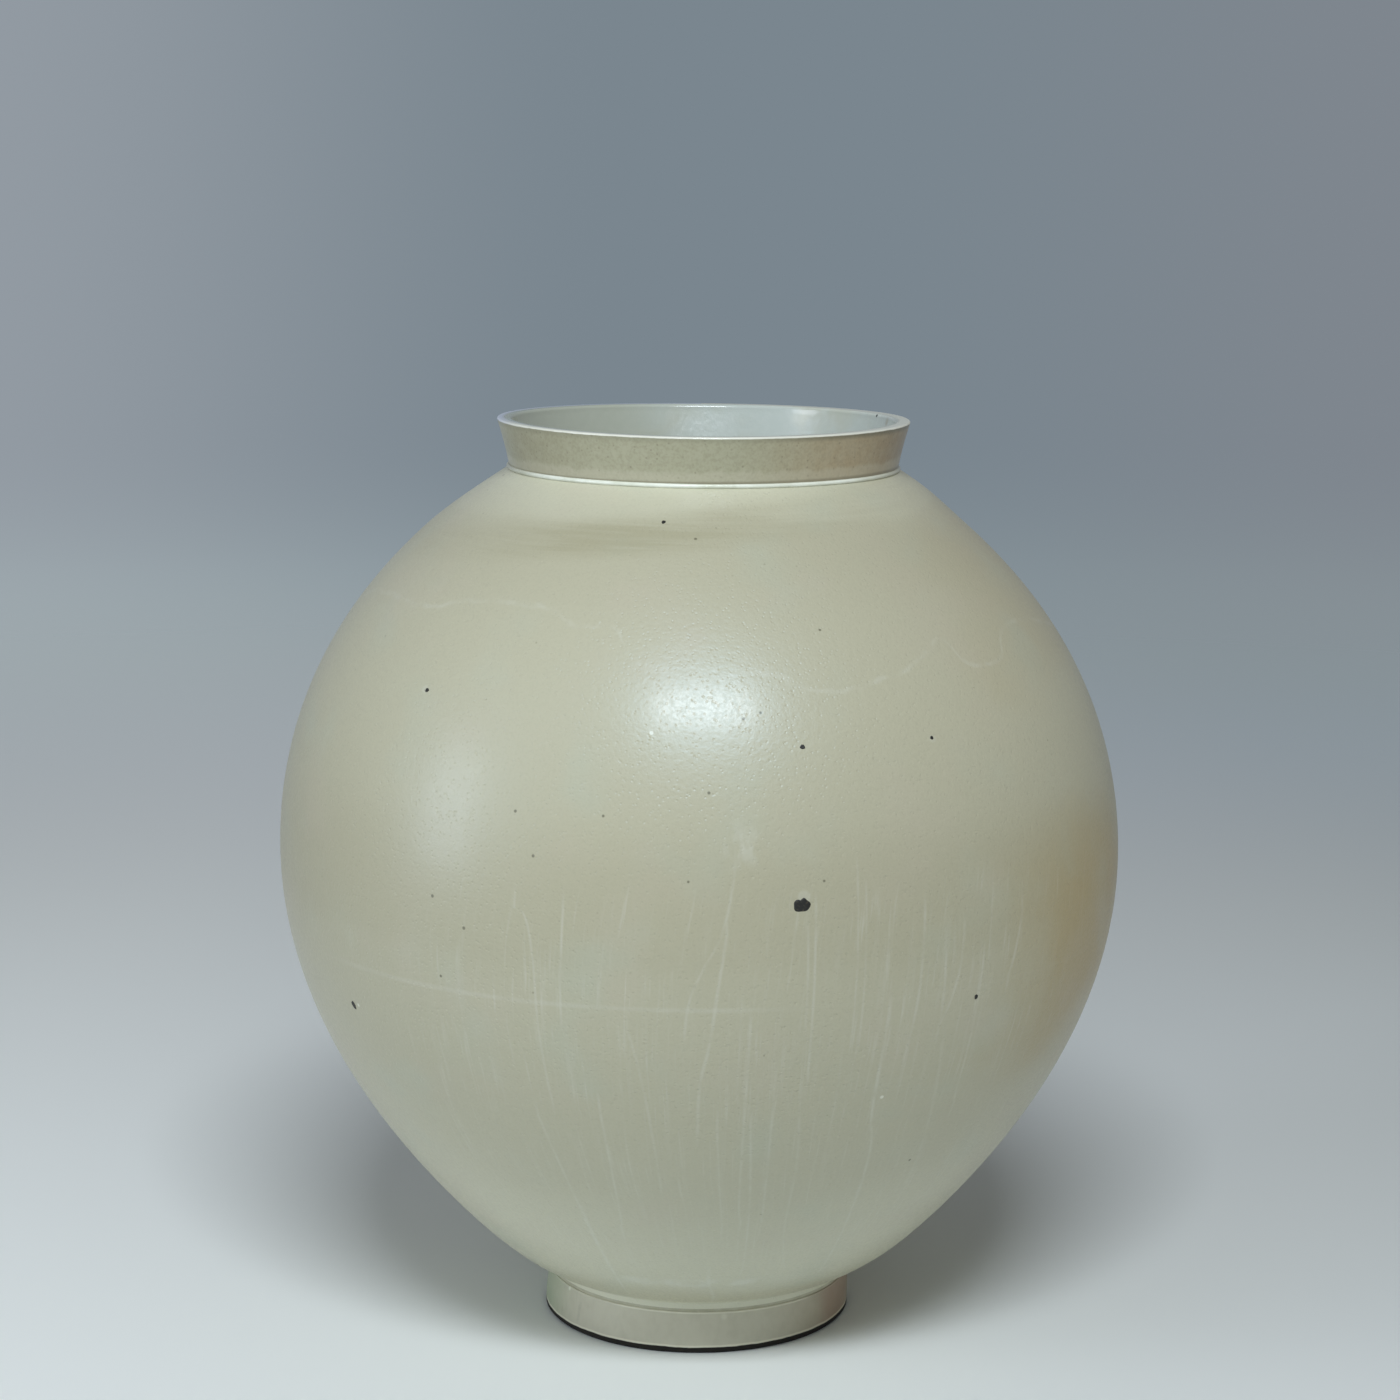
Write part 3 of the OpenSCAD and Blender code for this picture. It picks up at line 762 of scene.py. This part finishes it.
def joint_line():
    """Slip stained brown by the clay, sunk in the joint under the body."""
    line = Finish("joint_line", roughness=0.6, coat=0.15, coat_roughness=0.3)
    stain = line.band(line.cloud(4 * mm, detail=3, seed=71.0), 0.35, 0.7)
    line.feed(line.surface["Base Color"], line.mix(stain, fired(176, 172, 146), fired(188, 184, 160)))
    line.bump(line.cloud(1.2 * mm, detail=2, seed=72.0), 0.1 * mm)
    return line.material


foot_slip = turned("foot_slip_line", joint_outline, joint_line(), closed=True)
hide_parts("foot_slip")

# Foot ring: a thick turned ring that the jar stands on, with a crisp arris at its top.
# The bevel and the flat that touched the kiln shelf are bare; the dark clay there is painted nearly black,
# deepened as painted shade of the gap at the floor.
foot_bevel = 0.7 * mm
arris_round = 0.4 * mm
bare_height = 2.2 * mm


def foot_glaze():
    """Thin streaky glaze on the ring's wall, pale on its edges with a painted highlight across the front and
    a painted reflection at the left, over a bare base painted nearly black, dark clay deepened as painted
    shade.
    """
    glaze = Finish("foot_glaze", roughness=0.5, coat=0.25, coat_roughness=0.2)
    # Darker and greener round the left: a painted reflection
    left = glaze.band(glaze.angle, -48 * degrees, -82 * degrees)
    colour = glaze.mix(left, fired(196, 191, 168), fired(164, 174, 142))
    right = glaze.band(glaze.angle, 20 * degrees, 66 * degrees)
    colour = glaze.mix(right, colour, fired(166, 154, 130))
    fine = glaze.band(glaze.cloud(2.6 * mm, detail=3, stretch=(1, 1, 0.7), seed=81.0), 0.4, 0.7)
    colour = glaze.stain(colour, fine, 0.1, fired(140, 131, 101))
    broad = glaze.band(glaze.cloud(11 * mm, detail=3, stretch=(1, 1, 0.8), seed=82.0), 0.4, 0.68)
    colour = glaze.stain(colour, broad, 0.16, fired(206, 201, 178))
    blush = glaze.between(glaze.angle, 60 * degrees, 74 * degrees, 12 * degrees)
    colour = glaze.stain(colour, blush, 0.5, fired(160, 128, 108))
    runs = glaze.cloud(3 * mm, detail=3, stretch=(1, 1, 0.25), seed=83.0)
    runs = glaze.band(runs, 0.55, 0.75)
    runs = glaze.maths("MULTIPLY", runs, glaze.band(glaze.angle, -40 * degrees, -52 * degrees))
    colour = glaze.stain(colour, runs, 0.4, fired(128, 128, 100))
    drip = glaze.dab(51.9 * mm, 12.6 * mm, 9.6, 0.4 * mm, 1.6 * mm)
    colour = glaze.stain(colour, drip, 0.35, fired(222, 219, 198))

    # The arris is pale where the glaze is thin, and painted paler over most of the front as a painted
    # highlight, which fades round both sides
    arris = glaze.band(glaze.level, foot_level - 0.75 * mm, foot_level - 0.35 * mm)
    wear_and_highlight = glaze.between(glaze.angle, -26 * degrees, 40 * degrees, 9 * degrees)
    arris = glaze.maths("MULTIPLY", arris, glaze.maths("MULTIPLY_ADD", wear_and_highlight, 0.6, 0.1))
    colour = glaze.mix(arris, colour, fired(232, 228, 206))
    chip = glaze.dab(51.8 * mm, 13.4 * mm, -58, 0.3 * mm, 1.1 * mm)
    colour = glaze.stain(colour, chip, 0.7, fired(226, 226, 206))

    # The glaze ends in a pale line over the bare clay, which is painted nearly black: dark clay, deepened as
    # painted shade of the gap at the floor
    ragged = glaze.maths("MULTIPLY_ADD", glaze.cloud(6 * mm, detail=3, seed=84.0), 0.7 * mm, glaze.level)
    edge = glaze.between(ragged, bare_height + 0.35 * mm, bare_height + 0.8 * mm, 0.35 * mm)
    colour = glaze.stain(colour, edge, 0.6, fired(232, 227, 202))
    bare = glaze.band(ragged, bare_height + 0.35 * mm, bare_height + 0.15 * mm)
    dark_clay_and_shade = glaze.mix(glaze.cloud(0.9 * mm, detail=4, seed=85.0), fired(13, 11, 6), fired(34, 28, 18))
    glaze.feed(glaze.surface["Base Color"], glaze.mix(bare, colour, dark_clay_and_shade))
    glaze.feed(glaze.surface["Roughness"], glaze.maths("MULTIPLY_ADD", bare, 0.4, 0.5))
    glaze.feed(glaze.surface["Coat Weight"], glaze.maths("MULTIPLY_ADD", bare, -0.25, 0.25))
    glaze.bump(glaze.cloud(1.5 * mm, detail=3, stretch=(1, 1, 0.5), seed=86.0), 0.14 * mm)
    return glaze.material


ring_outline = [
    *rounded((foot_radius - arris_round, foot_level - arris_round), arris_round, 90, 0, 7),
    *[
        (foot_radius + foot_spread * (1 - (1 - t) ** 2), foot_level - (foot_level - foot_bevel) * t, 0)
        for t in np.linspace(0.06, 1, 20)
    ],
    (foot_radius + foot_spread - foot_bevel, 0, 0),
    (recess_radius + foot_bevel, 0, 0),
    (recess_radius, foot_bevel, 0),
    *reversed(scored(foot_radius - 2 * arris_round, recess_radius, foot_level, 3, -score_depth)),
]
foot_ring = turned("foot_ring_trimmed", ring_outline, foot_glaze(), closed=True)
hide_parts("foot_ring")

# Iron grains: bits of iron mineral in the clay that melted through the glaze and left
# small black glassy pits with a raised rim. Each sits in its own hollow of the wall.
grain_depth = 1.2 * mm
grain_rise = 0.16 * mm
grain_turns = 28


def iron_glass():
    """Black melted iron, glassy, with rusty brown where it runs thin at the rim."""
    glass = Finish("iron_glass", roughness=0.55, coat=0.12, coat_roughness=0.25)
    thin = glass.band(glass.cloud(0.9 * mm, detail=3), 0.5, 0.75)
    glass.feed(glass.surface["Base Color"], glass.mix(thin, fired(24, 22, 15), fired(62, 54, 36)))
    glass.bump(glass.cloud(0.35 * mm), 0.05 * mm)
    return glass.material


def grain(angle, level, width, height, tilt=0.0, notch=0.0):
    """One pit as a low ragged dome on the wall, closed behind it inside the clay."""
    side = upper_outside if level > seam_top else lower_outside
    slope = (side(level + mm) - side(level - mm)) / (2 * mm)
    along = 1 / math.hypot(1, slope)
    points = [by_hand(side(level) + 0.8 * grain_rise * along, level, angle)]
    for share, lift in ((0.35, 0.9), (0.65, 1), (0.88, 0.8), (1, -0.2), (0.8, -grain_depth / grain_rise)):
        for step in range(grain_turns):
            turn = 2 * math.pi * step / grain_turns
            ragged = 1 + 0.07 * math.sin(3 * turn + 40 * angle) + 0.05 * math.sin(5 * turn + 900 * level)
            ragged -= notch * math.exp(-(((turn - 1.75) / 0.3) ** 2))
            across = width / 2 * share * ragged * math.cos(turn)
            up = height / 2 * share * ragged * math.sin(turn)
            across, up = (
                across * math.cos(tilt) - up * math.sin(tilt),
                across * math.sin(tilt) + up * math.cos(tilt),
            )
            here = level + up * along
            proud = lift * grain_rise * along
            points.append(by_hand(side(here) + proud, here - proud * slope, angle + across / side(level)))
    rings = len(points) // grain_turns
    around = [(step, (step + 1) % grain_turns) for step in range(grain_turns)]
    faces = [[0, 1 + after, 1 + step] for step, after in around]
    for ring in range(rings - 1):
        low = 1 + ring * grain_turns
        high = low + grain_turns
        faces += [[low + step, low + after, high + after, high + step] for step, after in around]
    faces.append([1 + (rings - 1) * grain_turns + step for step, _ in around])
    return points, faces


grain_places = (
    (12.6, 175.2, 5.3, 4.5, 0.0, 0.42),
    (14.0, 220.9, 1.6, 1.5, 0.0, 0.0),
    (-53.3, 128.1, 1.9, 3.0, 0.5, 0.0),
    (37.8, 139.5, 1.4, 1.7, 0.0, 0.0),
    (-42.2, 231.8, 1.5, 1.4, 0.0, 0.0),
    (33.3, 220.6, 1.2, 1.2, 0.0, 0.0),
    (-8.4, 282.7, 1.3, 1.5, 0.0, 0.0),
)
grain_points = []
grain_faces = []
for angle, level, width, height, tilt, notch in grain_places:
    points, faces = grain(angle * degrees, level * mm, width * mm, height * mm, tilt, notch)
    grain_faces += [[len(grain_points) + corner for corner in face] for face in faces]
    grain_points += points
iron_grains = shaped("iron_grains", grain_points, grain_faces, iron_glass(), crease=60 * degrees)
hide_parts("iron_spots")

# Studio: a pale paper floor that fades into a grey backdrop, a lamp above the front, two
# dimmer ones on the left, and an even room light with more low in front and at the right.
floor_reach = 8
jar_middle = 0.17
floor = bpy.data.objects.new("studio_floor", bpy.data.meshes.new("studio_floor"))
turns = np.linspace(0, 2 * math.pi, 96, endpoint=False)
rim = [(floor_reach * math.sin(turn), -floor_reach * math.cos(turn), 0) for turn in turns]
floor.data.from_pydata(rim, [], [list(range(len(rim)))])
bpy.context.scene.collection.objects.link(floor)

# The paper is painted palest at the left and darker to the right, painted light, and fades into the backdrop
# two metres out
paper = Finish("studio_paper", roughness=0.9, coat=0.0, coat_roughness=0.5)
tone = paper.mix(paper.band(paper.x, -0.32, 0.0), fired(249, 250, 245), fired(230, 232, 228))
tone = paper.mix(paper.band(paper.x, 0.2, 0.6), tone, fired(218, 221, 217))
far = paper.mix(paper.band(paper.x, -0.4, 0.5), fired(253, 254, 255), fired(226, 234, 240))
tone = paper.mix(paper.band(paper.y, 0.5, 1.2), tone, far)
paper.feed(paper.surface["Base Color"], tone)
paper.feed(paper.surface["Alpha"], paper.band(paper.out, 2.0, 0.7))
floor.data.materials.append(paper.material)


def lamp(name, direction, away, width, height, watts, colour):
    """A soft box that faces the middle of the jar."""
    light = bpy.data.lights.new(name, "AREA")
    light.shape = "RECTANGLE"
    light.size = width
    light.size_y = height
    light.energy = watts
    light.color = colour
    box = bpy.data.objects.new(name, light)
    towards = Vector(direction).normalized()
    box.location = towards * away + Vector((0, 0, jar_middle))
    box.rotation_euler = towards.to_track_quat("Z", "Y").to_euler()
    bpy.context.scene.collection.objects.link(box)


lamp("front_lamp", (0.025, -0.677, 0.736), 1.6, 0.66, 0.24, 17.6, (0.92, 1.0, 1.09))
lamp("left_lamp", (-0.90, -0.36, 0.20), 1.9, 0.5, 0.9, 7.5, (0.93, 0.99, 1.12))
lamp("left_wall", (-0.80, -0.45, 0.40), 2.2, 1.7, 1.9, 3.8, (0.80, 1.0, 1.15))


class Sky(Finish):
    """The room round the jar, seen by direction."""

    def __init__(self, name):
        self.material = bpy.data.worlds.new(name)
        self.material.use_nodes = True
        self.nodes = self.material.node_tree.nodes
        self.surface = self.nodes["Background"].inputs
        self.place = self.node("TexCoord").outputs["Generated"]
        self.x, self.y, self.level = self.node("SeparateXYZ", {"Vector": self.place}).outputs


# An even room light, with cooler light low in front and warmer light low at the right
room = Sky("studio_room")
low = room.band(room.level, 0.55, 0.05)
ahead = room.maths("MULTIPLY", low, room.maths("MAXIMUM", room.maths("MULTIPLY", room.y, -1), 0))
beside = room.maths("MULTIPLY", low, room.maths("MAXIMUM", room.x, 0))
channels = []
for plain, cool, warm in ((0.148, 0.13, 0.45), (0.157, 0.20, 0.42), (0.165, 0.33, 0.345)):
    channel = room.maths("MULTIPLY_ADD", ahead, cool, plain)
    channels.append(room.maths("MULTIPLY_ADD", beside, warm, channel))
glow = room.node("CombineColor", enumerate(channels)).outputs[0]

# What the camera sees and the glaze mirrors: a grey backdrop that pales towards the floor
backdrop = room.mix(room.band(room.x, -0.02, -0.24), fired(122, 134, 143), fired(147, 155, 163))
backdrop = room.mix(room.band(room.x, 0.04, 0.24), backdrop, fired(127, 134, 142))
far_floor = room.mix(room.band(room.x, -0.2, 0.2), fired(178, 192, 194), fired(149, 162, 164))
backdrop = room.mix(room.band(room.level, -0.09, -0.22), backdrop, far_floor)
paths = room.node("LightPath").outputs
seen = room.maths("MAXIMUM", paths["Is Camera Ray"], paths["Is Glossy Ray"])
seen = room.maths("MAXIMUM", seen, paths["Is Transmission Ray"])
room.feed(room.surface["Color"], room.mix(seen, glow, backdrop))
bpy.context.scene.world = room.material

# Camera: a long lens in front of the jar, a little above its lip. It is tipped down to
# the belly and turned by a hair about its own line of sight.
lens = 82.4
camera_place = (0, -1.070, 0.402)
camera_pitch = 10.03 * degrees
camera_roll = 0.26 * degrees
camera = bpy.data.objects.new("camera", bpy.data.cameras.new("camera"))
camera.data.lens = lens
camera.data.sensor_width = 36
camera.location = camera_place
facing = Euler((math.pi / 2 - camera_pitch, 0, 0)).to_matrix() @ Matrix.Rotation(camera_roll, 3, "Z")
camera.rotation_euler = facing.to_euler()
bpy.context.scene.collection.objects.link(camera)
bpy.context.scene.camera = camera
bpy.context.scene.view_settings.view_transform = "Standard"
